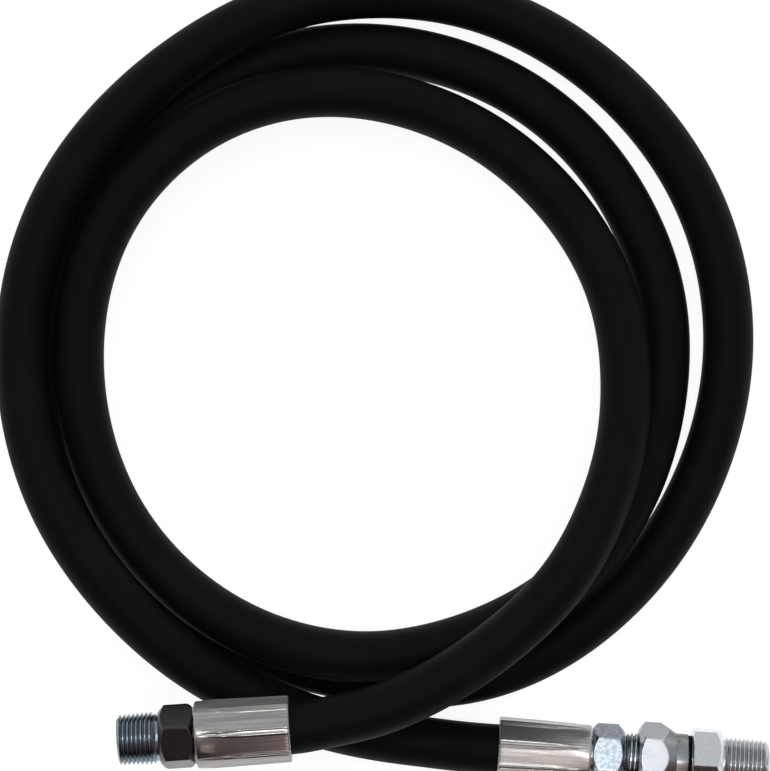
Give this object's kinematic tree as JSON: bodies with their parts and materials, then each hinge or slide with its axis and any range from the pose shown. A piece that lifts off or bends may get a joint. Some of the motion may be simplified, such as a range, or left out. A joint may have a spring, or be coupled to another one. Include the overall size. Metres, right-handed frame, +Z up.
{
  "type": "oil hose",
  "caption": "Rubber oil hose laid in a flat coil, with a crimped male pipe-thread fitting on one end and a male swivel fitting on the other.",
  "frame": {"origin": "on the floor, under the middle of the box round the whole hose and its fittings", "axes": "+Z up, square to the floor the coil lies on; +Y from the side with the two fittings across the coil; +X from the fixed fitting towards the swivel fitting"},
  "size_m": [0.3258, 0.3502, 0.0631],
  "materials": {
    "black_rubber": "matte black hose cover",
    "plated_steel": "bright plated steel, satin",
    "seal_rubber": "matte black seal ring"
  },
  "bodies": {
    "hose_and_fittings": {"hose": "black_rubber", "ferrule_fixed": "plated_steel", "stem_fixed": "plated_steel", "ferrule_swivel": "plated_steel", "stem_swivel": "plated_steel", "swivel_body": "plated_steel", "swivel_seal": "seal_rubber"},
    "turning_end": {"swivel_end": "plated_steel"}
  },
  "joints": [
    {"name": "live_swivel", "type": "hinge", "parent": "hose_and_fittings", "child": "turning_end", "pos_m": [0.12791, -0.16075, 0.01555], "axis": [0.9982, -0.0576, 0.0192], "continuous": true}
  ]
}
